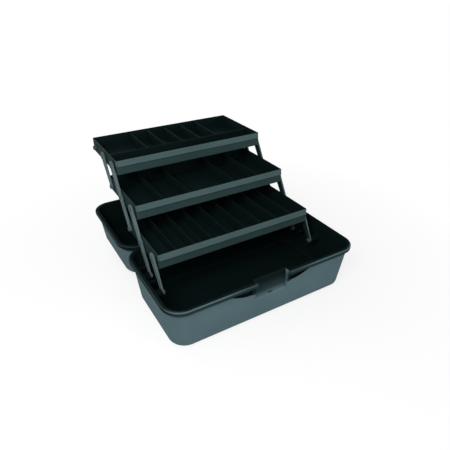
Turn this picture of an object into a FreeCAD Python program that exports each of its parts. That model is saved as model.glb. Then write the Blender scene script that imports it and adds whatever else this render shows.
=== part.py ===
import FreeCAD, Part
import math
import os

# An art supply box, open: a moulded base, a lid folded right back on its hinge, and three
# cantilever trays that swing up and back on pivoting arms.
# Frame: X to the right, Y to the back, Z up, origin under the middle of the base. Millimetres.

Vector = FreeCAD.Vector
ALONG_X = Vector(1, 0, 0)

# Base and lid mouldings
box_length = 450.0  # outside of the rim, left to right
box_depth = 236.8  # outside of the rim, front to back
wall = 2.5
overshoot = 1.0  # how far a cut or a fused foot runs past the face it crosses
tolerance = 0.01  # for finding an edge by its place
wall_draft = 9.4  # how far each wall leans in between rim and bottom
flange_reach = 6.0  # how far the rim stands out from the wall
flange_height = 8.0
flange_round = 1.6
rim_corner_radius = 40.0
bottom_corner_radius = 36.0
base_edge_radius = 10.0
lid_edge_radius = 20.0
rim_gap = 0.6  # between the two rims when the box is shut
bead_width = 2.2  # locating bead on the base rim
bead_height = 1.6
bead_round = 0.7
bead_clearance = 0.4
lid_headroom = 5.4  # above the top tray when the box is shut
handle_room = 12.4  # under the opened lid, where the carry handle lies

# Niche in the front that the latch closes into
niche_width = 77.0
niche_depth = 16.0  # from the rim's outside in to the niche's back
niche_drop = 47.0  # from the rim down to where the niche runs out into the wall
niche_sweep = 24.0  # height of the curved stretch at its lower end
catch_width = 12.0  # slot that the latch's hook snaps into
catch_height = 3.6
catch_rise = 3.0  # above the niche's lower end

# Finger scoops under the rim, beside the niche
scoop_rib = 6.0  # between the niche and each scoop
scoop_reach = 62.5  # from the rib outwards
scoop_drop = 20.5  # below the rim flange, beside the rib
scoop_depth = 7.0
scoop_level = 35.5  # how far its lower edge keeps level beside the rib, before it sweeps up
scoop_ease = 6.0  # the same at its outer end
scoop_tip = 1.0  # height left at its outer end

# Lid hinge
hinge_x = 130.0  # from the middle to each hinge
rim_spread = 2.2  # from each rim to the hinge axis
knuckle_radius = 4.2
lid_knuckle_length = 14.0
base_knuckle_length = 12.0
knuckle_gap = 0.4
knuckle_clearance = 0.5
hinge_pin_radius = 2.0
pin_setback = 0.4
running_clearance = 0.05  # radial, between a pin and what turns on it

# Latch
latch_width = 72.0
latch_thickness = 3.6
latch_gap = 0.6  # between the latch's knuckle and the lid's wall
latch_knuckle_radius = 3.6
latch_bend_drop = 20.0  # from the pin down to where the latch leans in
latch_lean = 6.0  # how far it leans in at its hook
latch_hook_bite = 2.0  # into the catch slot
latch_hook_height = 2.6
latch_hook_gap = 0.4
latch_tab_length = 6.0
latch_corner_radius = 9.0
latch_ear_width = 6.0
latch_ear_access = 4.0  # open flange beside each ear
latch_side_gap = 0.4
latch_pin_radius = 1.5

# Carry handle on the lid
handle_span = 124.0  # between the outsides of the two posts
handle_post_width = 11.0
handle_arm_width = 10.0
handle_reach = 36.0
handle_grip_width = 17.0
handle_side_gap = 0.5
handle_clearance = 0.6
handle_pin_radius = 2.5
handle_corner_radius = 12.0
handle_edge_round = 2.5  # along the inside of the grip

# Trays
tray_front_room = 28.2  # from the rim's outside to the tray, at the front and the back
tray_height = 33.0
tray_wall = 2.2
tray_floor = 2.0
tray_corner_radius = 3.0
tray_edge_radius = 2.5  # along the underside
tray_inner_radius = 1.5  # along the floor inside
tray_rim_round = 0.7
tray_lip_height = 12.5  # sloping grip along the tray's front
tray_lip_reach = 3.5
tray_lip_undercut = 1.2
tray_lip_round = 0.9
tray_stack_gap = 2.0  # between stacked trays when the box is shut
tray_stack_offset = -2.1  # middle of the shut stack, from the middle of the base
tray_pivot_height = 16.5  # above the tray's underside
tray_step_back = 103.0  # from one opened tray to the next
tray_step_up = 60.9
tray_lift_over_rim = 6.5  # under the lowest opened tray
tray_boss_radius = 8.0
tray_boss_height = 1.2
tray_pin_depth = 2.4  # of a pivot pin in its boss on the tray

# Dividers
divider_thickness = 1.8
divider_drop = 3.0  # below the tray's rim
divider_round = 0.6
groove_depth = 0.8
groove_clearance = 0.1
long_compartment_depth = 50.0  # at the front of the top tray
top_cross_pitch = 46.0
middle_divider_inner = 58.0
middle_divider_outer = 120.0
narrow_slots = 9  # in the bottom tray

# Arms and their pivots
arm_thickness = 4.0
arm_lower_radius = 5.4
arm_upper_radius = 10.5
arm_edge_round = 0.8
arm_pocket_depth = 1.0
arm_pocket_border = 2.6
arm_hole_border = 4.5
arm_gap = 0.3  # from an arm to what is beside it
pivot_radius = 3.0
pivot_head_radius = 5.0
pivot_head_height = 1.8
pivot_boss_length = 21.2  # from the base's end wall in to the arms
pivot_boss_radius = 9.0
pivot_pin_depth = 12.0  # of a pivot pin in its boss
stop_radius = 4.0
stop_along_arm = 20.0  # from the pivot to the stop, along the arm
stop_gap = 0.4
open_pivot_clearance = 0.3  # radial, where an arm only follows a tray's pin

# Sizes that follow from the ones above
TRAYS = ["bottom", "middle", "top"]
stack_pitch = tray_height + tray_stack_gap
tray_depth = box_depth - 2 * tray_front_room
lid_height = tray_lift_over_rim - tray_step_up + len(TRAYS) * stack_pitch + tray_height
lid_height += lid_headroom + wall - rim_gap
base_height = lid_height + handle_room
hinge_y = box_depth / 2 + rim_spread
hinge_z = base_height + rim_gap / 2
lid_centre_y = 2 * hinge_y
lid_front_y = lid_centre_y + box_depth / 2
flange_low = base_height - flange_height
niche_low = base_height - niche_drop
latch_pivot_inset = flange_reach - latch_knuckle_radius - latch_gap

# The arms stay parallel. Their two end positions, stacked and opened, fix the pivot spacing.
pivot_spacing = (tray_step_back**2 + tray_step_up**2 - stack_pitch**2) / (2 * tray_step_back)
arm_open = Vector(0, tray_step_back - pivot_spacing, tray_step_up)
arm_shut = Vector(0, -pivot_spacing, stack_pitch)
arm_span = arm_open.Length
arm_open_angle = math.degrees(math.atan2(arm_open.z, arm_open.y))
fold_angle = math.degrees(math.atan2(arm_shut.z, arm_shut.y)) - arm_open_angle
base_pivot_z = base_height + tray_lift_over_rim + tray_pivot_height - tray_step_up


def wall_inset(height, z):
    """How far inside the rim's outside a wall stands, at a height above its bottom."""
    return flange_reach + wall_draft * (1 - z / height)


# Along X, from the base's end wall in to the trays
end_wall_x = box_length / 2 - wall_inset(base_height, base_pivot_z) - wall
pivot_boss_x = end_wall_x - pivot_boss_length
arm_outer_x = pivot_boss_x - arm_gap
arm_inner_x = arm_outer_x - arm_thickness
tray_half_length = arm_inner_x - arm_gap - tray_boss_height
tray_length = 2 * tray_half_length
tray_boss_x = tray_half_length + tray_boss_height
tray_pin_x = tray_boss_x - tray_pin_depth


def base_pivot(spaces):
    """Pivot on the base, counted in pivot spaces behind the middle one."""
    return Vector(0, tray_stack_offset + spaces * pivot_spacing, base_pivot_z)


def tray_corner(level):
    """Lower front edge of an opened tray, at its middle. Level 0 is the lowest tray."""
    front_pivot = base_pivot(0) + arm_open
    front = front_pivot.y + pivot_spacing - tray_depth / 2 + level * tray_step_back
    return Vector(0, front, front_pivot.z - tray_pivot_height + level * tray_step_up)


def tray_pivots(level):
    """Front, middle and rear pivots of an opened tray."""
    middle = tray_corner(level) + Vector(0, tray_depth / 2, tray_pivot_height)
    return [middle + Vector(0, place * pivot_spacing, 0) for place in (-1, 0, 1)]


def mirrored(shape):
    """The same shape on the other end of the box."""
    return shape.mirror(Vector(0, 0, 0), ALONG_X)


def joined(first, *others):
    return first.fuse(list(others)).removeSplitter()


def rounded_rectangle(length, depth, radius, z):
    """Closed wire of a rectangle with round corners, centred on the Z axis."""
    arcs = []
    for quarter, (side_x, side_y) in enumerate([(1, 1), (-1, 1), (-1, -1), (1, -1)]):
        centre = Vector(side_x * (length / 2 - radius), side_y * (depth / 2 - radius), z)
        points = []
        for angle in (90 * quarter, 90 * quarter + 45, 90 * quarter + 90):
            turned = math.radians(angle)
            points.append(centre + Vector(radius * math.cos(turned), radius * math.sin(turned), 0))
        arcs.append(points)
    edges = []
    for index, points in enumerate(arcs):
        following = arcs[(index + 1) % len(arcs)]
        edges.append(Part.Arc(*points).toShape())
        edges.append(Part.makeLine(points[-1], following[0]))
    return Part.Wire(edges)


def slab(length, depth, radius, z_low, z_high):
    """Upright block with round corners, centred on the Z axis."""
    face = Part.Face(rounded_rectangle(length, depth, radius, z_low))
    return face.extrude(Vector(0, 0, z_high - z_low))


def block(x_low, x_high, y_low, y_high, z_low, z_high):
    corner = Vector(x_low, y_low, z_low)
    return Part.makeBox(x_high - x_low, y_high - y_low, z_high - z_low, corner)


def rod(radius, x_low, x_high, centre):
    """Round bar along X, on a centre in the YZ plane."""
    return Part.makeCylinder(radius, x_high - x_low, Vector(x_low, centre.y, centre.z), ALONG_X)


def side_profile(points, x_low, x_high):
    """Outline of (y, z) points drawn out along X."""
    corners = [Vector(x_low, y, z) for y, z in points]
    face = Part.Face(Part.makePolygon(corners + corners[:1]))
    return face.extrude(Vector(x_high - x_low, 0, 0))


def level_edges(solid, z):
    """Edges of a solid that lie flat at one height."""
    found = []
    for edge in solid.Edges:
        box = edge.BoundBox
        if abs(box.ZMin - z) < tolerance and abs(box.ZMax - z) < tolerance:
            found.append(edge)
    return found


def edges_along_x(solid, y, z):
    """Edges of a solid that run along X through one place of its side view."""
    found = []
    for edge in solid.Edges:
        box = edge.BoundBox
        in_depth = abs(box.YMin - y) < tolerance and abs(box.YMax - y) < tolerance
        in_height = abs(box.ZMin - z) < tolerance and abs(box.ZMax - z) < tolerance
        if in_depth and in_height:
            found.append(edge)
    return found


def wall_outline(height, inset, z):
    """Outline of a tub's wall at a height, moved in by an inset."""
    in_from_rim = wall_inset(height, z) + inset
    top_radius = rim_corner_radius - flange_reach
    radius = bottom_corner_radius + (top_radius - bottom_corner_radius) * z / height - inset
    return rounded_rectangle(box_length - 2 * in_from_rim, box_depth - 2 * in_from_rim, radius, z)


def wall_block(height, inset, z_low, z_high, edge_radius):
    """Solid inside a tub's leaning wall, with its lower edge rounded."""
    outlines = [wall_outline(height, inset, z_low), wall_outline(height, inset, z_high)]
    solid = Part.makeLoft(outlines, True, True)
    return solid.makeFillet(edge_radius, level_edges(solid, z_low))


def tub_outside(height, edge_radius):
    """Outer form of the base or the lid, standing on its bottom with the rim on top."""
    rim = slab(box_length, box_depth, rim_corner_radius, height - flange_height, height)
    rim_edges = level_edges(rim, height) + level_edges(rim, height - flange_height)
    rim = rim.makeFillet(flange_round, rim_edges)
    return wall_block(height, 0, 0, height, edge_radius).fuse(rim)


def tub_hollow(height, edge_radius):
    above_rim = height + flange_height
    return wall_block(height, wall, wall, above_rim, edge_radius - wall)


def rim_ring(z_low, z_high, extra):
    """Ring along the middle of the rim, wider by an extra on each side."""
    middle = (flange_reach + wall) / 2
    outer = middle - bead_width / 2 - extra
    inner = middle + bead_width / 2 + extra
    rings = []
    for inset in (outer, inner):
        length = box_length - 2 * inset
        depth = box_depth - 2 * inset
        rings.append(slab(length, depth, rim_corner_radius - inset, z_low, z_high))
    return rings[0].cut(rings[1])


def hinge_spans(centre_x):
    """Where the lid's knuckle and the base's two knuckles lie along X, at one hinge."""
    half = lid_knuckle_length / 2
    near = half + knuckle_gap
    far = near + base_knuckle_length
    lid_spans = [(centre_x - half, centre_x + half)]
    base_spans = [(centre_x - far, centre_x - near), (centre_x + near, centre_x + far)]
    return lid_spans, base_spans


def with_knuckles(shell, own_spans, other_spans, rim_side):
    """Add hinge knuckles to a rim and clear the other rim's. The rim is at rim_side * Y."""
    axis = Vector(0, hinge_y, hinge_z)
    for low, high in other_spans:
        room = rod(knuckle_radius + knuckle_clearance, low - knuckle_gap, high + knuckle_gap, axis)
        shell = shell.cut(room)
    web_reach = rim_spread + flange_round
    web_low = hinge_z - knuckle_radius
    for low, high in own_spans:
        web_ys = sorted([hinge_y, hinge_y + rim_side * web_reach])
        web = block(low, high, web_ys[0], web_ys[1], web_low, base_height)
        shell = shell.fuse([rod(knuckle_radius, low, high, axis), web])
    return shell


def scoop_outline(border, y):
    """Crescent beside the niche, under the rim, seen from the front and grown by a border."""
    inner_x = niche_width / 2 + scoop_rib - border
    outer_x = niche_width / 2 + scoop_rib + scoop_reach + border
    low = flange_low - scoop_drop - border
    high = flange_low + border
    tip = flange_low - scoop_tip - border
    places = [(inner_x, low), (inner_x, high), (outer_x, high), (outer_x, tip)]
    corners = [Vector(x, y, z) for x, z in places]
    bends = [Vector(outer_x - scoop_ease, y, tip), Vector(inner_x + scoop_level, y, low)]
    sweep = Part.BezierCurve()
    sweep.setPoles([corners[3], bends[0], bends[1], corners[0]])
    return Part.Face(Part.Wire([Part.makePolygon(corners), sweep.toShape()]))


def finger_scoops():
    """The recess to cut on each side of the niche, and the wall that backs it."""
    wall_y = -box_depth / 2 + wall_inset(base_height, flange_low)
    floor_y = wall_y + scoop_depth
    back = scoop_outline(wall, wall_y + wall / 2).extrude(Vector(0, wall / 2 + scoop_depth, 0))
    recess = scoop_outline(0, -box_depth).extrude(Vector(0, box_depth + floor_y, 0))
    return [recess, mirrored(recess)], [back, mirrored(back)]


def niche_curve(grow):
    """Side view of the sweep at the niche's lower end, moved back by a growth: three points of an arc."""
    back = -box_depth / 2 + niche_depth
    run = niche_depth - wall_inset(base_height, niche_low)
    turn = 2 * math.atan2(run, niche_sweep)
    radius = niche_sweep / math.sin(turn)
    points = []
    for angle in (0, turn / 2, turn):
        y = back - radius + (radius + grow) * math.cos(angle)
        z = niche_low + niche_sweep - (radius + grow) * math.sin(angle)
        points.append((y, z))
    return points


def niche_form(half_width, grow, top, front_top, front_low):
    """Block with the niche's back, drawn out along X, from the front faces given to the back."""
    arc = [Vector(-half_width, y, z) for y, z in niche_curve(grow)]
    upper = [Vector(-half_width, front_top, top), Vector(-half_width, arc[0].y, top), arc[0]]
    lower = [arc[2], Vector(-half_width, front_low, arc[2].z), upper[0]]
    outline = Part.Wire([Part.makePolygon(upper), Part.Arc(*arc).toShape(), Part.makePolygon(lower)])
    return Part.Face(outline).extrude(Vector(2 * half_width, 0, 0))


def niche_void():
    outside = -box_depth / 2 - flange_reach
    return niche_form(niche_width / 2, 0, base_height + flange_height, outside, outside)


def niche_housing():
    """Wall round the niche, standing into the tub from the middle of its front wall."""
    middle = -box_depth / 2 + wall / 2
    low = niche_curve(wall)[2][1]
    front_top = middle + wall_inset(base_height, base_height)
    front_low = middle + wall_inset(base_height, low)
    return niche_form(niche_width / 2 + wall, wall, base_height, front_top, front_low)


def catch_slot():
    back = -box_depth / 2 + niche_depth + wall + overshoot
    low = niche_low + catch_rise
    return block(-catch_width / 2, catch_width / 2, -box_depth / 2, back, low, low + catch_height)


def stop_centres():
    """Stops that the rear base arm leans on, opened and shut."""
    along = arm_open * (1 / arm_span)
    shut = arm_shut * (1 / arm_span)
    taper = (arm_upper_radius - arm_lower_radius) / (2 * arm_span)
    away = arm_lower_radius + taper * stop_along_arm + stop_gap + stop_radius
    behind = Vector(0, along.z, -along.y) * away
    before = Vector(0, -shut.z, shut.y) * away
    pivot = base_pivot(1)
    return [pivot + along * stop_along_arm + behind, pivot + shut * stop_along_arm + before]


def end_bosses():
    """Pivot bosses and arm stops that stand in from the right-hand end wall."""
    into_wall = end_wall_x + wall / 2
    bosses = [rod(pivot_boss_radius, pivot_boss_x, into_wall, base_pivot(place)) for place in (0, 1)]
    stops = [rod(stop_radius, arm_inner_x, into_wall, centre) for centre in stop_centres()]
    return bosses + stops


def base_pin_sockets():
    deep = pivot_boss_x + pivot_pin_depth
    return [rod(pivot_radius, pivot_boss_x - overshoot, deep, base_pivot(place)) for place in (0, 1)]


def base_shell():
    lid_spans, base_spans = all_hinge_spans()
    recesses, backs = finger_scoops()
    shell = tub_outside(base_height, base_edge_radius).cut(tub_hollow(base_height, base_edge_radius))
    bead = rim_ring(base_height - overshoot, base_height + bead_height, 0)
    bead = bead.makeFillet(bead_round, level_edges(bead, base_height + bead_height))
    shell = shell.fuse(backs + [niche_housing(), bead])
    shell = shell.cut(recesses + [niche_void(), catch_slot()])
    bosses = end_bosses()
    shell = shell.fuse(bosses + [mirrored(boss) for boss in bosses])
    sockets = base_pin_sockets()
    shell = shell.cut(sockets + [mirrored(socket) for socket in sockets])
    shell = with_knuckles(shell, base_spans, lid_spans, -1)
    return shell.cut(hinge_bores(hinge_pin_radius)).removeSplitter()


def all_hinge_spans():
    lid_spans = []
    base_spans = []
    for centre_x in (-hinge_x, hinge_x):
        lid_part, base_part = hinge_spans(centre_x)
        lid_spans += lid_part
        base_spans += base_part
    return lid_spans, base_spans


def hinge_half_length():
    return lid_knuckle_length / 2 + knuckle_gap + base_knuckle_length


def hinge_bores(radius):
    axis = Vector(0, hinge_y, hinge_z)
    reach = hinge_half_length() + overshoot
    return [rod(radius, x - reach, x + reach, axis) for x in (-hinge_x, hinge_x)]


def hinge_pins():
    axis = Vector(0, hinge_y, hinge_z)
    reach = hinge_half_length() - pin_setback
    pins = [rod(hinge_pin_radius, x - reach, x + reach, axis) for x in (-hinge_x, hinge_x)]
    return Part.makeCompound(pins)


def latch_pivot():
    """The latch pin with the lid open: inside the lid's far rim, halfway down it."""
    return Vector(0, lid_front_y - latch_pivot_inset, base_height - flange_height / 2)


def handle_pivot():
    return Vector(0, lid_centre_y - handle_reach / 2, handle_room / 2)


def handle_posts():
    """Two rounded posts under the opened lid, which also stand on the table."""
    pivot = handle_pivot()
    radius = handle_room / 2
    outer_x = handle_span / 2
    inner_x = outer_x - handle_post_width
    round_end = rod(radius, inner_x, outer_x, pivot)
    stem = block(inner_x, outer_x, pivot.y - radius, pivot.y + radius, pivot.z, handle_room + wall / 2)
    post = round_end.fuse(stem)
    return [post, mirrored(post)]


def latch_ears():
    """Two lugs that hold the latch pin, where the flange is cut away."""
    pivot = latch_pivot()
    radius = flange_height / 2
    inner_x = latch_width / 2 + latch_side_gap
    outer_x = inner_x + latch_ear_width
    round_end = rod(radius, inner_x, outer_x, pivot)
    root_y = lid_front_y - flange_reach - wall / 2
    ear = round_end.fuse(block(inner_x, outer_x, root_y, pivot.y, pivot.z - radius, pivot.z + radius))
    return [ear, mirrored(ear)]


def latch_notch():
    """Gap in the lid's front flange, where the latch and its ears sit."""
    half = latch_width / 2 + latch_side_gap + latch_ear_width + latch_ear_access
    back = lid_front_y - flange_reach
    front = lid_front_y + overshoot
    return block(-half, half, back, front, flange_low - overshoot, base_height + overshoot)


def lid_shell():
    lid_spans, base_spans = all_hinge_spans()
    shell = tub_outside(lid_height, lid_edge_radius).cut(tub_hollow(lid_height, lid_edge_radius))
    shell.translate(Vector(0, lid_centre_y, handle_room))
    shell = shell.cut(latch_notch()).fuse(handle_posts() + latch_ears())
    groove_low = base_height - bead_height - bead_clearance
    groove = rim_ring(groove_low, base_height + overshoot, bead_clearance)
    groove.translate(Vector(0, lid_centre_y, 0))
    shell = shell.cut(groove)
    shell = with_knuckles(shell, lid_spans, base_spans, 1)
    pin_room = hinge_bores(hinge_pin_radius + running_clearance)
    latch_bore = rod(latch_pin_radius, -latch_width, latch_width, latch_pivot())
    handle_bore = rod(handle_pin_radius, -handle_span, handle_span, handle_pivot())
    return shell.cut(pin_room + [latch_bore, handle_bore]).removeSplitter()


def latch():
    """Flap that hangs from the opened lid's rim, with its hook turned outwards."""
    pivot = latch_pivot()
    shut_pivot_z = base_height + rim_gap + flange_height / 2
    outer = -latch_knuckle_radius
    inner = outer + latch_thickness
    hook_top = niche_low + catch_rise + catch_height - latch_hook_gap - shut_pivot_z
    hook_low = hook_top - latch_hook_height
    low = hook_low - latch_tab_length
    half = latch_width / 2
    points = [(inner, 0), (outer, 0), (outer, -latch_bend_drop), (outer + latch_lean, hook_top)]
    points += [(outer + latch_lean, hook_low), (outer + latch_lean / 2, low)]
    points += [(inner + latch_lean / 2, low), (inner + latch_lean, hook_low)]
    points += [(inner + latch_lean, hook_top), (inner, -latch_bend_drop)]
    plate = side_profile(points, -half, half)
    front_view = slab(latch_width, -2 * low, latch_corner_radius, -latch_width, latch_width)
    front_view.rotate(Vector(0, 0, 0), ALONG_X, 90)
    plate = plate.common(front_view)
    knuckle = rod(latch_knuckle_radius, -half, half, Vector(0, 0, 0))
    flap = joined(plate, knuckle, latch_hook(inner + latch_lean - latch_thickness / 2, hook_low, hook_top))
    flap = flap.cut(rod(latch_pin_radius + running_clearance, -latch_width, latch_width, Vector(0, 0, 0)))
    flap.translate(pivot)
    return flap


def latch_hook(root, low, high):
    """Tooth that reaches through the catch slot, seen from the latch's pin."""
    half = catch_width / 2 - latch_side_gap
    slot_floor = niche_curve(0)[1][0]
    tip = slot_floor + latch_hook_bite - (-box_depth / 2 + latch_pivot_inset)
    points = [(root, high), (root, low), (tip - latch_hook_bite, low), (tip, (low + high) / 2), (tip, high)]
    return side_profile(points, -half, half)


def latch_pin():
    reach = latch_width / 2 + latch_side_gap + latch_ear_width - pin_setback
    return rod(latch_pin_radius, -reach, reach, latch_pivot())


def handle():
    """Bail that lies flat under the opened lid."""
    pivot = handle_pivot()
    half_thickness = handle_room / 2 - handle_clearance
    inner_x = handle_span / 2 + handle_side_gap
    outer_x = inner_x + handle_arm_width
    grip_y = pivot.y + handle_reach
    far_y = grip_y + handle_grip_width / 2
    near_y = pivot.y - half_thickness
    centre_y = (far_y + near_y) / 2
    frame = slab(2 * outer_x, far_y - near_y, handle_corner_radius, 0, handle_room)
    frame.translate(Vector(0, centre_y, 0))
    square_end = block(-outer_x, outer_x, near_y, pivot.y + half_thickness, 0, handle_room)
    inner_y = grip_y - handle_grip_width / 2
    above = handle_room + overshoot
    inside = block(-inner_x, inner_x, near_y - overshoot, inner_y, -overshoot, above)
    bail = frame.fuse(square_end).cut(inside)
    low = pivot.z - half_thickness
    high = pivot.z + half_thickness
    side = rod(half_thickness, -outer_x, outer_x, pivot)
    round_y = far_y - half_thickness
    side = side.fuse(block(-outer_x, outer_x, pivot.y, round_y, low, high))
    side = joined(side, rod(half_thickness, -outer_x, outer_x, Vector(0, round_y, pivot.z)))
    bail = bail.common(side)
    inner_edges = edges_along_x(bail, inner_y, low) + edges_along_x(bail, inner_y, high)
    bail = bail.makeFillet(handle_edge_round, inner_edges)
    reach = outer_x + overshoot
    return bail.cut(rod(handle_pin_radius + running_clearance, -reach, reach, pivot))


def handle_pins():
    pivot = handle_pivot()
    inner_x = handle_span / 2 - handle_post_width
    outer_x = handle_span / 2 + handle_side_gap + handle_arm_width
    pin = rod(handle_pin_radius, inner_x, outer_x, pivot)
    return Part.makeCompound([pin, mirrored(pin)])


def tray_tub():
    """A tray without its lip, with its lower front edge at the origin's height."""
    depth = tray_depth - tray_lip_reach
    tub = slab(tray_length, depth, tray_corner_radius, 0, tray_height)
    tub.translate(Vector(0, tray_lip_reach + depth / 2, 0))
    tub = tub.cut(tray_hollow())
    tub = tub.makeFillet(tray_edge_radius, level_edges(tub, 0))
    return tub.makeFillet(tray_rim_round, level_edges(tub, tray_height))


def tray_lip():
    """Sloping grip along a tray's front."""
    low = tray_height - tray_lip_height
    under = low - tray_lip_undercut
    behind = tray_lip_reach + tray_wall / 2
    half = tray_half_length - tray_corner_radius
    points = [(tray_lip_reach, tray_height), (0, low), (tray_lip_reach, under)]
    points += [(behind, under), (behind, tray_height)]
    lip = side_profile(points, -half, half)
    edges = edges_along_x(lip, 0, low) + edges_along_x(lip, tray_lip_reach, tray_height)
    return lip.makeFillet(tray_lip_round, edges)


def tray_inside_depth():
    return tray_depth - tray_lip_reach - 2 * tray_wall


def tray_hollow():
    depth = tray_inside_depth()
    length = tray_length - 2 * tray_wall
    hollow = slab(length, depth, tray_corner_radius, tray_floor, tray_height + overshoot)
    hollow.translate(Vector(0, tray_lip_reach + tray_wall + depth / 2, 0))
    return hollow.makeFillet(tray_inner_radius, level_edges(hollow, tray_floor))


def tray_front_inside():
    return tray_lip_reach + tray_wall


def tray_back_inside():
    return tray_depth - tray_wall


def divider_across(x, y_low, y_high, grow, thicken, top):
    """Plate that runs front to back at x, grown into the walls at both ends."""
    half = divider_thickness / 2 + thicken
    return block(x - half, x + half, y_low - grow, y_high + grow, tray_floor, top)


def long_divider_y():
    return tray_front_inside() + long_compartment_depth + divider_thickness / 2


def long_divider_plate(grow, thicken, top):
    """Plate that runs the length of the top tray."""
    half = divider_thickness / 2 + thicken
    reach = tray_half_length - tray_wall + grow
    y = long_divider_y()
    return block(-reach, reach, y - half, y + half, tray_floor, top)


def divider_places(tray):
    """Where each tray's front-to-back dividers stand along X."""
    if tray == "top":
        return [top_cross_pitch * step for step in (-2, -1, 0, 1, 2)]
    if tray == "middle":
        return [-middle_divider_outer, -middle_divider_inner, middle_divider_inner, middle_divider_outer]
    first_edge = -(tray_half_length - tray_wall) - divider_thickness / 2
    pitch = -2 * first_edge / narrow_slots
    return [first_edge + pitch * number for number in range(1, narrow_slots)]


def divider_run(tray):
    """Front and back ends of a tray's front-to-back dividers."""
    if tray == "top":
        return long_divider_y() + divider_thickness / 2, tray_back_inside()
    return tray_front_inside(), tray_back_inside()


def divider_plates(tray):
    """Every divider of a tray by its node name, in the tray's own place."""
    top = tray_height - divider_drop
    seat = groove_depth - groove_clearance
    front, back = divider_run(tray)
    plates = {}
    for number, x in enumerate(divider_places(tray), 1):
        plate = divider_across(x, front, back, seat, 0, top)
        plates[f"tray_{tray}_divider_{number}"] = plate.makeFillet(divider_round, level_edges(plate, top))
    if tray == "top":
        long_plate = long_divider_plate(seat, 0, top)
        long_plate = long_plate.makeFillet(divider_round, level_edges(long_plate, top))
        for x in divider_places(tray):
            groove = divider_across(x, front, back, groove_depth, groove_clearance, tray_height)
            long_plate = long_plate.cut(groove)
        plates["tray_top_long_divider"] = long_plate
    return plates


def divider_grooves(tray):
    front, back = divider_run(tray)
    above = tray_height + overshoot
    grooves = []
    for x in divider_places(tray):
        groove_front = back - 2 * tray_inner_radius if tray == "top" else front
        grooves.append(divider_across(x, groove_front, back, groove_depth, groove_clearance, above))
    if tray == "top":
        grooves.append(long_divider_plate(groove_depth, groove_clearance, above))
    return grooves


def in_tray_place(shape, level):
    placed = shape.copy()
    placed.translate(tray_corner(level))
    return placed


def tray_shell(level):
    tray = TRAYS[level]
    shell = tray_tub().fuse(tray_lip())
    shell = shell.cut(divider_grooves(tray))
    shell = in_tray_place(shell, level)
    bosses = []
    sockets = []
    for pivot in tray_pivots(level):
        bosses.append(rod(tray_boss_radius, tray_half_length - tray_wall / 2, tray_boss_x, pivot))
        sockets.append(rod(pivot_radius, tray_pin_x, tray_boss_x + overshoot, pivot))
    shell = shell.fuse(bosses + [mirrored(boss) for boss in bosses])
    shell = shell.cut(sockets + [mirrored(socket) for socket in sockets])
    return shell.removeSplitter()


def headed_pin(stem_low, stem_high, head_low, head_high, pivot):
    stem = rod(pivot_radius, stem_low, stem_high, pivot)
    return stem.fuse(rod(pivot_head_radius, head_low, head_high, pivot)).removeSplitter()


def tray_pivot_pins(level):
    """Headed pegs in a tray's end bosses, three at each end. The top tray's rear ones are spare."""
    head_low = arm_outer_x + arm_gap
    head_high = head_low + pivot_head_height
    pins = []
    for pivot in tray_pivots(level):
        pin = headed_pin(tray_pin_x, head_high, head_low, head_high, pivot)
        pins += [pin, mirrored(pin)]
    return Part.makeCompound(pins)


def base_pivot_pins():
    """Headed pegs in the base's pivot bosses, with their heads on the tray side."""
    head_high = arm_inner_x - arm_gap
    head_low = head_high - pivot_head_height
    pins = []
    for place in (0, 1):
        pin = headed_pin(head_low, pivot_boss_x + pivot_pin_depth, head_low, head_high, base_pivot(place))
        pins += [pin, mirrored(pin)]
    return Part.makeCompound(pins)


def tapered_bar(start, end, start_radius, end_radius, z_low, z_high):
    """Flat bar along X between two round ends of different radius."""
    spread = math.acos((start_radius - end_radius) / (end - start))
    side_x = math.cos(spread)
    side_y = math.sin(spread)
    start_top = Vector(start + start_radius * side_x, start_radius * side_y, z_low)
    start_low = Vector(start_top.x, -start_top.y, z_low)
    end_top = Vector(end + end_radius * side_x, end_radius * side_y, z_low)
    end_low = Vector(end_top.x, -end_top.y, z_low)
    start_arc = Part.Arc(start_top, Vector(start - start_radius, 0, z_low), start_low).toShape()
    end_arc = Part.Arc(end_low, Vector(end + end_radius, 0, z_low), end_top).toShape()
    low_line = Part.makeLine(start_low, end_low)
    top_line = Part.makeLine(end_top, start_top)
    face = Part.Face(Part.Wire([start_arc, low_line, end_arc, top_line]))
    return face.extrude(Vector(0, 0, z_high - z_low))


def arm(lower_pivot, spans, bearing_holes):
    """One arm on the right-hand end, from its lower pivot up through one or two spans."""
    length = spans * arm_span
    bar = tapered_bar(0, length, arm_lower_radius, arm_upper_radius, 0, arm_thickness)
    bar = bar.makeFillet(arm_edge_round, level_edges(bar, 0) + level_edges(bar, arm_thickness))
    taper = (arm_upper_radius - arm_lower_radius) / length
    clear = pivot_radius + open_pivot_clearance + arm_hole_border
    for index in range(spans + 1):
        slack = running_clearance if index in bearing_holes else open_pivot_clearance
        centre = Vector(index * arm_span, 0, 0)
        bar = bar.cut(Part.makeCylinder(pivot_radius + slack, arm_thickness, centre))
    floor = arm_thickness - arm_pocket_depth
    for index in range(spans):
        radii = []
        ends = []
        for end, side in ((index * arm_span, 1), ((index + 1) * arm_span, -1)):
            edge_radius = arm_lower_radius + taper * end
            radii.append(edge_radius - arm_pocket_border)
            ends.append(end + side * (clear + radii[-1]))
        pocket = tapered_bar(ends[0], ends[1], radii[0], radii[1], floor, arm_thickness)
        bar = bar.cut(pocket)
    bar.rotate(Vector(0, 0, 0), Vector(1, 1, 1), 120)
    bar.rotate(Vector(0, 0, 0), ALONG_X, arm_open_angle)
    bar.translate(Vector(arm_inner_x, lower_pivot.y, lower_pivot.z))
    return bar


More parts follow.
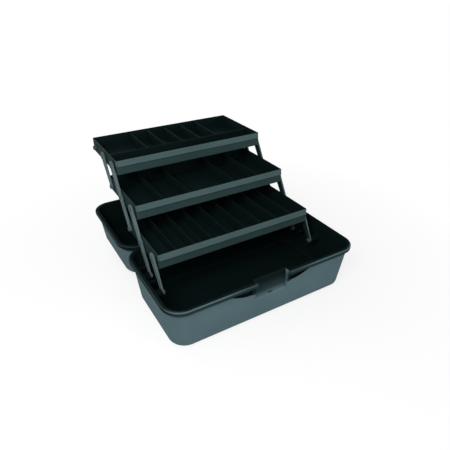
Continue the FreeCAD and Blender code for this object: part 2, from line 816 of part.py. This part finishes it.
def arms():
    """The four arms of each end by name: lower pivot, spans, and the holes that bear on a pin."""
    bottom = tray_pivots(0)
    middle = tray_pivots(1)
    layout = {
        "long_arm_upper": (bottom[2], 2, (0,)),
        "long_arm_lower": (base_pivot(1), 2, (0, 2)),
        "short_arm_front": (base_pivot(0), 1, (0, 1)),
        "short_arm_rear": (middle[2], 1, (0, 1)),
    }
    made = {}
    for name, (pivot, spans, bearing_holes) in layout.items():
        right = arm(pivot, spans, bearing_holes)
        made[name + "_right"] = right
        made[name + "_left"] = mirrored(right)
    return made


def all_nodes():
    nodes = {
        "base_shell": base_shell(),
        "hinge_pins": hinge_pins(),
        "base_pivot_pins": base_pivot_pins(),
        "lid_shell": lid_shell(),
        "latch": latch(),
        "latch_pin": latch_pin(),
        "handle": handle(),
        "handle_pins": handle_pins(),
    }
    nodes.update(arms())
    for level, tray in enumerate(TRAYS):
        nodes[f"tray_{tray}_shell"] = tray_shell(level)
        nodes[f"tray_{tray}_pivot_pins"] = tray_pivot_pins(level)
        for name, plate in divider_plates(tray).items():
            nodes[name] = in_tray_place(plate, level)
    return nodes


def export_nodes():
    os.makedirs("parts", exist_ok=True)
    for name, shape in all_nodes().items():
        shape.exportStep(f"parts/{name}.step")


export_nodes()
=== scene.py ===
"""Looks of an open art supply box: moulded shells, cantilever trays on pivoting arms, and pins."""

import bpy
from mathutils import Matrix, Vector

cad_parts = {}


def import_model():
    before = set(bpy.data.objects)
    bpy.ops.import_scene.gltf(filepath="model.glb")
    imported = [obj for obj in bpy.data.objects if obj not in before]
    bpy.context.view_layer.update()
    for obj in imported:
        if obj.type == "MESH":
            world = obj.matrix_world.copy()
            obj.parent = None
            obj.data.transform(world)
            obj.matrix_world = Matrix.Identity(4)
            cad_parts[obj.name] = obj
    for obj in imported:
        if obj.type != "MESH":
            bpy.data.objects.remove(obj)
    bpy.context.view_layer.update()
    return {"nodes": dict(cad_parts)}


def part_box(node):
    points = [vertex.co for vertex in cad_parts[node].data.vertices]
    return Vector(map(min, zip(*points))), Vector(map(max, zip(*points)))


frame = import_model()

# Camera, fitted to the photograph
CAMERA_PLACE = Vector((-0.41968, -0.63614, 0.62131))
CAMERA_AIM = Vector((-0.04331, 0.0, 0.17668))
CAMERA_SENSOR = 36.0
CAMERA_LENS = 34.186

# Lamps: name, place, aim, width and height in metres, and power in watts
LAMPS = (
    ("key", (-0.6, -0.5, 0.85), (-0.1, 0.1, 0.15), (0.6, 0.5), 9.2),
    ("fill", (0.9, -1.5, 0.15), (0.0, 0.05, 0.1), (1.4, 1.0), 18.0),
    ("back", (-0.4, 1.7, 0.9), (0.0, 0.2, 0.1), (1.2, 1.0), 9.0),
    ("side", (-1.1, 0.5, 0.3), (-0.2, 0.2, 0.06), (0.7, 0.5), 1.4),
)
AMBIENT = 0.44  # strength of the even light from all around
FLOOR_SIZE = 60.0
FLOOR_HEIGHT = -0.0004
SHADOW_NEAR = 0.25  # distance at which the object's shadow starts to fade into white
SHADOW_FAR = 0.7
SHADOW_WHITENESS = 0.75  # share of plain white in the floor near the object

# Sizes of the mouldings that their finish follows, metres, as in the construction
RIM_LENGTH = 0.450
RIM_DEPTH = 0.2368
WALL = 0.0025
WALL_DRAFT = 0.0094
WALL_CORNER = 0.035
FLANGE_REACH = 0.006
FLANGE_HEIGHT = 0.008
BASE_HEIGHT = 0.1033
LID_LOW = 0.0124
LID_MIDDLE_Y = 0.2412
NICHE_HALF = 0.0385
NICHE_DEPTH = 0.016
NICHE_DROP = 0.047
SCOOP_NEAR = 0.0435
SCOOP_FAR = 0.108
SCOOP_DROP = 0.0215
LIP_REACH = 0.0035
TRAY_WALL = 0.0022

# Places where one finish changes to another, metres
SOFT = 0.0005  # width of a change where no other is given
MOUTH_RISE = 0.012  # height of the point that looks into a tub or tray, above its rim
FACING_SOFT = 0.002
LOWER_EDGE = 0.03  # height of a tub's rounded lower edge
RIM_LINE = 0.003  # painted highlight along the outside of the rim's top
RIM_SHADE = 0.0075  # how far the rim's painted shade reaches down the wall under it, a painted shadow under the flange
RIM_SHADE_SOFT = 0.004
LIT_SIDE_NEAR = 0.008  # how far the rim's lighter painted shade and full painted highlight reach round the corners from the side that opens
LIT_SIDE_FAR = 0.03
LINE_FADE = 0.02  # how far beside the niche the rim's painted highlight stays weak
SCOOP_SKIN = 0.0008  # depth behind the wall at which a scoop's painted shade starts
# how far a scoop's painted shade reaches onto the rib beside the niche
RIB_MARGIN = 0.0012
SWEEP_START = 0.002  # heights above the niche's lower end, between which painted shade grows on its back
SWEEP_BEND = 0.014
SWEEP_TOP = 0.036
NICHE_SKIN = 0.0015  # depth behind the wall at which the painted shade on the niche's back starts
NICHE_SKIN_SOFT = 0.002
LIP_DROP = 0.0128  # height of the lit band painted on a tray's lip; below it the front is painted in the lip's shadow
LIP_SOFT = 0.003

# Limits on one part of a face's normal, which tell faces apart
ACROSS = 0.7  # ends of trays and flat faces of arms
ACROSS_SOFT = 0.4
UPRIGHT = 0.5  # faces that don't look left or right
UPRIGHT_SOFT = 0.4
BACKWARD = 0.3  # faces that look to the back
BACKWARD_SOFT = 0.2
TOP_TURN = (0.1, 0.6)  # from the side of the rim to its top

# Strengths of finishes and of painted highlight and shade, 0 to 1
# strength of the rim's painted highlight beside the niche, and on the sides away from the one that
# opens
LINE_AT_NICHE = 0.4
HIGHLIGHT_AWAY_FROM_LIT_SIDE = 0.45
SWEEP_DARK = 0.8  # painted shade that the niche's back reaches at the bend, and what comes above it
SWEEP_MORE = 0.2
PEG_GRAIN = 0.3
DIVIDER_GRAIN = 0.2

# Colours, linear
SLATE_GRAINED = (0.0655, 0.1068, 0.1188)
SLATE_RUBBED = (0.100, 0.145, 0.160)
# painted shade on the smooth rim, the lighter one on the side that opens
SLATE_RIM_SHADE = (0.0118, 0.0240, 0.0250)
# painted deep shade: tub insides, the rim's top and shaded sides, the scoops and the niche's back
SLATE_DEEP_SHADE = (0.0034, 0.0082, 0.0080)
ARM_FACE = (0.090, 0.128, 0.136)
# the arms' edges, painted a shade darker than their faces
ARM_EDGE_SHADE = (0.075, 0.108, 0.115)
PEG_COLOUR = (0.052, 0.078, 0.082)
# one tray plastic in lit and shaded copies: the lit lip, painted shade elsewhere outside, darker on
# the ends, and deep painted shade inside
TRAY_LIP = (0.0506, 0.0827, 0.0851)
TRAY_SIDE_SHADE = (0.0215, 0.0410, 0.0420)
TRAY_END_SHADE = (0.0098, 0.0195, 0.0190)
TRAY_RUBBED = (0.070, 0.100, 0.098)
TRAY_INSIDE_SHADE = (0.0042, 0.0102, 0.0100)
STEEL_COLOUR = (0.52, 0.53, 0.54)
FLOOR_COLOUR = (0.86, 0.86, 0.86)

# Surface detail, with sizes in metres
GRAIN_SIZE = 0.0011
GRAIN_DEPTH = 0.00006
FINE_GRAIN_SIZE = GRAIN_SIZE / 3
FINE_GRAIN_SHARE = 0.5
PATCH_SIZE = 0.09  # patches of slightly lighter and darker plastic
PATCH_DARK = 0.93
PATCH_LIGHT = 1.07
SCUFF_SIZE = 0.004
SCUFF_RANGE = (0.42, 0.62)  # values of the scuff noise from no wear to full wear
EDGE_WEAR_WIDTH = 0.0008
EDGE_WEAR_SAMPLES = 4
EDGE_TURN = (0.995, 0.93)  # from a flat face to a sharp edge
TURNING_SIZE = 0.0004
TURNING_STRETCH = (1.0, 0.1, 0.1)
TURNING_DEPTH = 0.00001
NOISE_RANGE = (0.3, 0.7)  # most values of a noise lie here
SHADE_DETAIL = 3.0
SCUFF_DETAIL = 4.0

# Sockets of a Mix node that hold its colours
MIX_FIRST = 6
MIX_RESULT = 2

# Gloss
SMOOTH_ROUGH = 0.42
GRAINED_ROUGH = 0.6
TRAY_SMOOTH_ROUGH = 0.48
SCUFF_ROUGH = 0.12
STEEL_ROUGH = (0.22, 0.4)
FLOOR_ROUGH = 0.9
SHELL_SPECULAR = 0.006
TRAY_SPECULAR = 0.02


class Graph:
    """Short forms for building one node tree."""

    def __init__(self, tree):
        self.tree = tree

    def node(self, kind, **settings):
        made = self.tree.nodes.new(kind)
        for key, value in settings.items():
            setattr(made, key, value)
        return made

    def feed(self, socket, value):
        """Link a node's output to a socket, or set the socket to a constant."""
        if isinstance(value, bpy.types.NodeSocket):
            self.tree.links.new(value, socket)
        else:
            socket.default_value = value

    def math(self, operation, *values, clamp=False):
        made = self.node("ShaderNodeMath", operation=operation, use_clamp=clamp)
        for socket, value in zip(made.inputs, values):
            self.feed(socket, value)
        return made.outputs[0]

    def vector(self, operation, *values):
        made = self.node("ShaderNodeVectorMath", operation=operation)
        for socket, value in zip(made.inputs, values):
            self.feed(socket, value)
        return made.outputs["Value" if operation == "DOT_PRODUCT" else "Vector"]

    def split(self, vector):
        made = self.node("ShaderNodeSeparateXYZ")
        self.feed(made.inputs[0], vector)
        return made.outputs[:3]

    def remap(self, value, low, high, to_low=0.0, to_high=1.0):
        made = self.node("ShaderNodeMapRange")
        for socket, given in zip(made.inputs, (value, low, high, to_low, to_high)):
            self.feed(socket, given)
        return made.outputs[0]

    def more(self, value, limit, soft=SOFT):
        """Mask of where a value is above a limit."""
        return self.remap(value, limit - soft / 2, limit + soft / 2)

    def less(self, value, limit, soft=SOFT):
        """Mask of where a value is below a limit."""
        return self.remap(value, limit - soft / 2, limit + soft / 2, 1.0, 0.0)

    def both(self, *masks):
        """Mask of where all the masks are."""
        joined = masks[0]
        for mask in masks[1:]:
            joined = self.math("MULTIPLY", joined, mask)
        return joined

    def either(self, first, second):
        return self.math("MAXIMUM", first, second)

    def inverse(self, mask):
        return self.math("SUBTRACT", 1.0, mask)

    def without(self, mask, taken):
        return self.math("MULTIPLY", mask, self.inverse(taken))

    def mix(self, share, first, second):
        made = self.node("ShaderNodeMix", data_type="RGBA")
        self.feed(made.inputs[0], share)
        for socket, value in zip(made.inputs[MIX_FIRST:], (first, second)):
            self.feed(socket, value if isinstance(value, bpy.types.NodeSocket) else (*value, 1.0))
        return made.outputs[MIX_RESULT]

    def seen_directly(self):
        """1 for rays from the camera, mirrors and glass, and 0 for rays that only light the object."""
        path = self.node("ShaderNodeLightPath").outputs
        mirrored = self.math("ADD", path["Is Glossy Ray"], path["Is Transmission Ray"])
        return self.math("ADD", path["Is Camera Ray"], mirrored, clamp=True)


class Surface(Graph):
    """The node tree of one material, with the places and directions that its finish follows."""

    def __init__(self, name):
        self.material = bpy.data.materials.new(name)
        self.material.use_nodes = True
        super().__init__(self.material.node_tree)
        self.shader = self.tree.nodes["Principled BSDF"]
        coordinates = self.node("ShaderNodeTexCoord").outputs
        self.place = coordinates["Object"]
        self.normal = coordinates["Normal"]
        self.x, self.y, self.z = self.split(self.place)
        self.across, self.back, self.up = self.split(self.normal)

    def unsigned(self, value):
        """A value without its sign."""
        return self.math("ABSOLUTE", value)

    def noise(self, size, detail=2.0, stretch=(1.0, 1.0, 1.0)):
        made = self.node("ShaderNodeTexNoise")
        scaled = self.vector("MULTIPLY", self.place, [along / size for along in stretch])
        self.feed(made.inputs["Vector"], scaled)
        made.inputs["Scale"].default_value = 1.0
        made.inputs["Detail"].default_value = detail
        return made.outputs["Fac"]

    def grain(self):
        """Pebbled mould grain with a finer roughness on it."""
        pebbles = self.node("ShaderNodeTexVoronoi", feature="SMOOTH_F1")
        self.feed(pebbles.inputs["Vector"], self.place)
        pebbles.inputs["Scale"].default_value = 1.0 / GRAIN_SIZE
        fine = self.noise(FINE_GRAIN_SIZE)
        return self.math("MULTIPLY_ADD", fine, FINE_GRAIN_SHARE, pebbles.outputs["Distance"])

    def edge_wear(self):
        """Mask of the sharp edges, broken up as rubbing leaves them."""
        rounded = self.node("ShaderNodeBevel", samples=EDGE_WEAR_SAMPLES)
        rounded.inputs["Radius"].default_value = EDGE_WEAR_WIDTH
        plain = self.node("ShaderNodeNewGeometry").outputs["Normal"]
        turned = self.vector("DOT_PRODUCT", rounded.outputs[0], plain)
        edges = self.remap(turned, *EDGE_TURN)
        return self.both(edges, self.remap(self.noise(SCUFF_SIZE, SCUFF_DETAIL), *SCUFF_RANGE))

    def shaded(self, colour):
        """A colour in soft patches, slightly lighter and darker."""
        patches = self.remap(self.noise(PATCH_SIZE, SHADE_DETAIL), *NOISE_RANGE)
        darker, lighter = ([part * share for part in colour] for share in (PATCH_DARK, PATCH_LIGHT))
        return self.mix(patches, darker, lighter)

    def worn(self, colour, wear_and_painted_light):
        """A colour with a lighter one along the edges."""
        return self.mix(self.edge_wear(), colour, wear_and_painted_light)

    def bump(self, height, depth):
        made = self.node("ShaderNodeBump")
        self.feed(made.inputs["Height"], height)
        made.inputs["Distance"].default_value = depth
        self.feed(self.shader.inputs["Normal"], made.outputs["Normal"])

    def finish(self, colour, grained, smooth_rough=SMOOTH_ROUGH, specular=SHELL_SPECULAR):
        """Set the shader from a colour and a mask of where the grain is."""
        grain = self.grain()
        self.feed(self.shader.inputs["Base Color"], colour)
        rough = self.remap(grained, 0.0, 1.0, smooth_rough, GRAINED_ROUGH)
        scuffs = self.noise(SCUFF_SIZE, SCUFF_DETAIL)
        scuffed = self.math("MULTIPLY_ADD", scuffs, SCUFF_ROUGH, rough)
        self.feed(self.shader.inputs["Roughness"], scuffed)
        self.shader.inputs["Specular IOR Level"].default_value = specular
        self.bump(self.math("MULTIPLY", grain, grained), GRAIN_DEPTH)
        return self.material


def facing_point(surface, point):
    """Mask of the faces that look towards a point."""
    away = surface.vector("SUBTRACT", surface.place, point)
    return surface.less(surface.vector("DOT_PRODUCT", surface.normal, away), 0.0, FACING_SOFT)


def wall_depth(surface, low, high, middle_y):
    """How deep a point lies behind a tub's leaning outer wall. Negative out on the rim flange."""
    lean = surface.remap(surface.z, low, high, FLANGE_REACH + WALL_DRAFT, FLANGE_REACH)

    def past_corner(from_middle, half):
        return surface.math("ADD", surface.math("SUBTRACT", from_middle, half - WALL_CORNER), lean)

    across = past_corner(surface.unsigned(surface.x), RIM_LENGTH / 2)
    along = past_corner(surface.unsigned(surface.math("SUBTRACT", surface.y, middle_y)), RIM_DEPTH / 2)
    past_x = surface.math("MAXIMUM", across, 0.0)
    past_y = surface.math("MAXIMUM", along, 0.0)
    squares = surface.math("MULTIPLY_ADD", past_x, past_x, surface.math("MULTIPLY", past_y, past_y))
    short = surface.math("MINIMUM", surface.math("MAXIMUM", across, along), 0.0)
    reach = surface.math("ADD", surface.math("SQRT", squares), short)
    return surface.math("SUBTRACT", WALL_CORNER, reach)


def tub_inside(surface, low, middle_y, depth):
    """Mask of a tub's inside, which gets painted deep shade: what looks into its mouth, and all that
    stands behind the wall.
    """
    faces = facing_point(surface, (0.0, middle_y, BASE_HEIGHT + MOUTH_RISE))
    hidden = surface.either(faces, surface.more(surface.z, low + LOWER_EDGE))
    return surface.both(hidden, surface.more(depth, WALL / 2))


def rim_finish(surface, depth, wear_and_painted_light):
    """Masks of the smooth rim in painted shade and of its darkest painted shade. A painted highlight
    runs along its outside.
    """
    rim = surface.more(surface.z, BASE_HEIGHT - FLANGE_HEIGHT - RIM_SHADE, RIM_SHADE_SOFT)
    top = surface.both(rim, surface.remap(surface.up, *TOP_TURN))
    outer = surface.less(depth, RIM_LINE - FLANGE_REACH)
    from_niche = surface.unsigned(surface.x)
    fade = surface.remap(from_niche, NICHE_HALF + LINE_FADE, SCOOP_FAR, LINE_AT_NICHE, 1.0)
    strength = surface.remap(wear_and_painted_light, 0.0, 1.0, HIGHLIGHT_AWAY_FROM_LIT_SIDE, 1.0)
    polish_and_shade = surface.without(rim, surface.both(top, outer, fade, strength))
    dark = surface.either(surface.without(top, outer), surface.without(polish_and_shade, wear_and_painted_light))
    return polish_and_shade, dark


def niche_mask(surface):
    """The recess in the base's front that the latch closes into, without the back of its housing."""
    width = surface.less(surface.unsigned(surface.x), NICHE_HALF + WALL / 2)
    deep = surface.less(surface.y, -RIM_DEPTH / 2 + NICHE_DEPTH + WALL / 2)
    return surface.both(width, deep, surface.less(surface.back, BACKWARD, BACKWARD_SOFT))


def scoop_mask(surface, depth, upright):
    """The finger scoops under the base's front rim, and the ribs between them and the niche, which get
    painted deep shade.
    """
    aside = surface.unsigned(surface.x)
    width = surface.both(surface.more(aside, NICHE_HALF), surface.less(aside, SCOOP_FAR))
    top = BASE_HEIGHT - FLANGE_HEIGHT
    above = surface.more(surface.z, top - SCOOP_DROP)
    height = surface.both(above, surface.less(surface.z, top))
    rib = surface.both(surface.less(aside, SCOOP_NEAR + RIB_MARGIN), upright)
    recessed = surface.either(surface.more(depth, SCOOP_SKIN), rib)
    return surface.both(width, height, surface.less(surface.y, 0.0), recessed)


def niche_shade(surface):
    """Painted shade on the niche's back, which grows from where it runs out into the wall."""
    low = BASE_HEIGHT - NICHE_DROP
    start, bend, top = low + SWEEP_START, low + SWEEP_BEND, low + SWEEP_TOP
    lower = surface.remap(surface.z, start, bend, 0.0, SWEEP_DARK)
    return surface.math("ADD", lower, surface.remap(surface.z, bend, top, 0.0, SWEEP_MORE))


def front_finish(surface, depth, polish_and_shade, inside):
    """The masks of the polish and of painted shade, changed for the niche and scoops in the base's
    front: the scoops and the niche's back get painted shade.
    """
    niche = niche_mask(surface)
    upright = surface.less(surface.unsigned(surface.across), UPRIGHT, UPRIGHT_SOFT)
    inside = surface.either(surface.without(inside, niche), scoop_mask(surface, depth, upright))
    polish_and_shade = surface.without(polish_and_shade, surface.both(niche, surface.more(depth, 0.0)))
    deep = surface.more(depth, NICHE_SKIN, NICHE_SKIN_SOFT)
    return polish_and_shade, surface.either(inside, surface.both(niche, niche_shade(surface), upright, deep))


def tub_plastic(name, low, middle_y, opens, recessed):
    """Grained outside, a smooth rim in painted shade with a painted highlight along it, both lighter
    on the side that opens, and painted deep shade inside.

    opens is 1 for a tub that opens at the front and -1 for one that opens at the back.
    """
    surface = Surface(name)
    depth = wall_depth(surface, low, BASE_HEIGHT, middle_y)
    inside = tub_inside(surface, low, middle_y, depth)
    # the side that opens gets lighter painted shade on the rim and a full painted highlight
    from_lit_side = surface.math("MULTIPLY_ADD", surface.y, opens, RIM_DEPTH / 2 - opens * middle_y)
    wear_and_painted_light = surface.remap(from_lit_side, LIT_SIDE_NEAR, LIT_SIDE_FAR, 1.0, 0.0)
    polish_and_shade, dark = rim_finish(surface, depth, wear_and_painted_light)
    # the rim's darkest painted shade joins the inside's painted shade
    inside = surface.either(inside, dark)
    if recessed:
        polish_and_shade, inside = front_finish(surface, depth, polish_and_shade, inside)
    colour = surface.worn(surface.shaded(SLATE_GRAINED), SLATE_RUBBED)
    # the smooth rim in painted shade
    colour = surface.mix(polish_and_shade, colour, SLATE_RIM_SHADE)
    # painted deep shade inside, on the rim's darkest parts, in the scoops and on the niche's back
    colour = surface.mix(inside, colour, SLATE_DEEP_SHADE)
    return surface.finish(colour, surface.inverse(surface.either(polish_and_shade, inside)))


def tray_plastic(name):
    """Grained tray plastic in lit and shaded copies: a lit lip, painted shade on the rest of the
    outside, darker on the ends, and a smooth inside in deep painted shade.
    """
    surface = Surface(name)
    low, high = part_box(name)
    middle = ((low.x + high.x) / 2, (low.y + high.y) / 2, high.z + MOUTH_RISE)
    behind_front = surface.more(surface.y, low.y + LIP_REACH + TRAY_WALL / 2)
    before_back = surface.less(surface.y, high.y - TRAY_WALL / 2)
    between_ends = surface.less(surface.unsigned(surface.x), high.x - TRAY_WALL)
    inside = surface.both(facing_point(surface, middle), behind_front, before_back, between_ends)
    front = surface.less(surface.y, low.y + LIP_REACH + TRAY_WALL)
    lip = surface.both(front, surface.more(surface.z, high.z - LIP_DROP, LIP_SOFT))
    end = surface.more(surface.unsigned(surface.across), ACROSS, ACROSS_SOFT)
    colour = surface.mix(end, surface.shaded(TRAY_SIDE_SHADE), surface.shaded(TRAY_END_SHADE))
    colour = surface.mix(lip, colour, surface.shaded(TRAY_LIP))
    colour = surface.mix(inside, surface.worn(colour, TRAY_RUBBED), TRAY_INSIDE_SHADE)
    return surface.finish(colour, surface.inverse(inside), TRAY_SMOOTH_ROUGH, TRAY_SPECULAR)


def arm_plastic():
    """Grained faces outwards, smooth edges painted a shade darker, and smooth faces towards the trays
    in painted shade.
    """
    surface = Surface("arm_plastic")
    outwards = surface.math("MULTIPLY", surface.across, surface.math("SIGN", surface.x))
    face = surface.more(outwards, ACROSS, ACROSS_SOFT)
    inner = surface.less(outwards, -ACROSS, ACROSS_SOFT)
    colour = surface.mix(face, surface.shaded(ARM_EDGE_SHADE), surface.shaded(ARM_FACE))
    # faces towards the trays take the trays' painted end shade
    return surface.finish(surface.mix(inner, colour, surface.shaded(TRAY_END_SHADE)), face)


def plain_plastic(name, colour, wear_and_painted_light, grained, specular=SHELL_SPECULAR):
    """Plastic with one finish on every face."""
    surface = Surface(name)
    colour = surface.worn(surface.shaded(colour), wear_and_painted_light)
    return surface.finish(colour, grained, specular=specular)


def bright_steel():
    """Steel with fine turning marks round the pins."""
    surface = Surface("bright_steel")
    surface.shader.inputs["Metallic"].default_value = 1.0
    surface.shader.inputs["Base Color"].default_value = (*STEEL_COLOUR, 1.0)
    turning = surface.noise(TURNING_SIZE, SHADE_DETAIL, TURNING_STRETCH)
    rough = surface.remap(turning, *NOISE_RANGE, *STEEL_ROUGH)
    surface.feed(surface.shader.inputs["Roughness"], rough)
    surface.bump(turning, TURNING_DEPTH)
    return surface.material


def dress(node, material):
    slots = frame["nodes"][node].data.materials
    slots.clear()
    slots.append(material)


def dress_nodes():
    arms = arm_plastic()
    pegs = plain_plastic("peg_plastic", PEG_COLOUR, SLATE_RUBBED, PEG_GRAIN)
    slate = plain_plastic("slate_plastic", SLATE_GRAINED, SLATE_RUBBED, grained=1.0)
    # dividers in the trays' painted inside shade, with the painted end shade along their worn edges
    dividers = plain_plastic("divider_plastic", TRAY_INSIDE_SHADE, TRAY_END_SHADE, DIVIDER_GRAIN, TRAY_SPECULAR)
    steel = bright_steel()
    for node in frame["nodes"]:
        if node == "base_shell":
            material = tub_plastic(node, low=0.0, middle_y=0.0, opens=1.0, recessed=True)
        elif node == "lid_shell":
            material = tub_plastic(node, LID_LOW, LID_MIDDLE_Y, opens=-1.0, recessed=False)
        elif node.startswith("tray_") and node.endswith("_shell"):
            material = tray_plastic(node)
        elif "divider" in node:
            material = dividers
        elif "pivot_pins" in node:
            material = pegs
        elif "pin" in node:
            material = steel
        elif "arm" in node:
            material = arms
        else:
            material = slate
        dress(node, material)


def floor():
    """Pale floor that shows white, with the object's soft shadow near it."""
    bpy.ops.mesh.primitive_plane_add(size=FLOOR_SIZE, location=(0.0, 0.0, FLOOR_HEIGHT))
    made = bpy.context.object
    made.name = "floor"
    surface = Surface("floor")
    surface.shader.inputs["Base Color"].default_value = (*FLOOR_COLOUR, 1.0)
    surface.shader.inputs["Roughness"].default_value = FLOOR_ROUGH
    surface.shader.inputs["Specular IOR Level"].default_value = 0.0
    away = surface.vector("SUBTRACT", surface.place, (0.0, LID_MIDDLE_Y / 2, 0.0))
    distance = surface.math("SQRT", surface.vector("DOT_PRODUCT", away, away))
    whiteness = surface.remap(distance, SHADOW_NEAR, SHADOW_FAR, SHADOW_WHITENESS, 1.0)
    glow = surface.node("ShaderNodeEmission")
    shown = surface.node("ShaderNodeMixShader")
    surface.feed(shown.inputs[0], surface.math("MULTIPLY", surface.seen_directly(), whiteness))
    surface.feed(shown.inputs[1], surface.shader.outputs[0])
    surface.feed(shown.inputs[2], glow.outputs[0])
    surface.feed(surface.tree.nodes["Material Output"].inputs[0], shown.outputs[0])
    made.data.materials.append(surface.material)


def world():
    """White where it is seen, and an even soft light on the object."""
    made = bpy.data.worlds.new("studio")
    made.use_nodes = True
    bpy.context.scene.world = made
    graph = Graph(made.node_tree)
    background = graph.tree.nodes["Background"]
    background.inputs["Color"].default_value = (1.0, 1.0, 1.0, 1.0)
    strength = graph.remap(graph.seen_directly(), 0.0, 1.0, AMBIENT, 1.0)
    graph.feed(background.inputs["Strength"], strength)


def place_and_aim(name, data, place, aim):
    """Put a lamp or camera into the scene, looking from its place to its aim."""
    made = bpy.data.objects.new(name, data)
    made.location = place
    made.rotation_euler = (Vector(aim) - Vector(place)).to_track_quat("-Z", "Y").to_euler()
    bpy.context.scene.collection.objects.link(made)
    return made


def softbox(name, place, aim, size, power):
    lamp = bpy.data.lights.new(name, "AREA")
    lamp.shape = "RECTANGLE"
    lamp.size, lamp.size_y = size
    lamp.energy = power
    place_and_aim(name, lamp, place, aim)


def camera():
    lens = bpy.data.cameras.new("camera")
    lens.sensor_width = CAMERA_SENSOR
    lens.lens = CAMERA_LENS
    bpy.context.scene.camera = place_and_aim("camera", lens, CAMERA_PLACE, CAMERA_AIM)


def main():
    bpy.context.scene.view_settings.view_transform = "Standard"
    camera()
    floor()
    world()
    for lamp in LAMPS:
        softbox(*lamp)
    dress_nodes()


main()
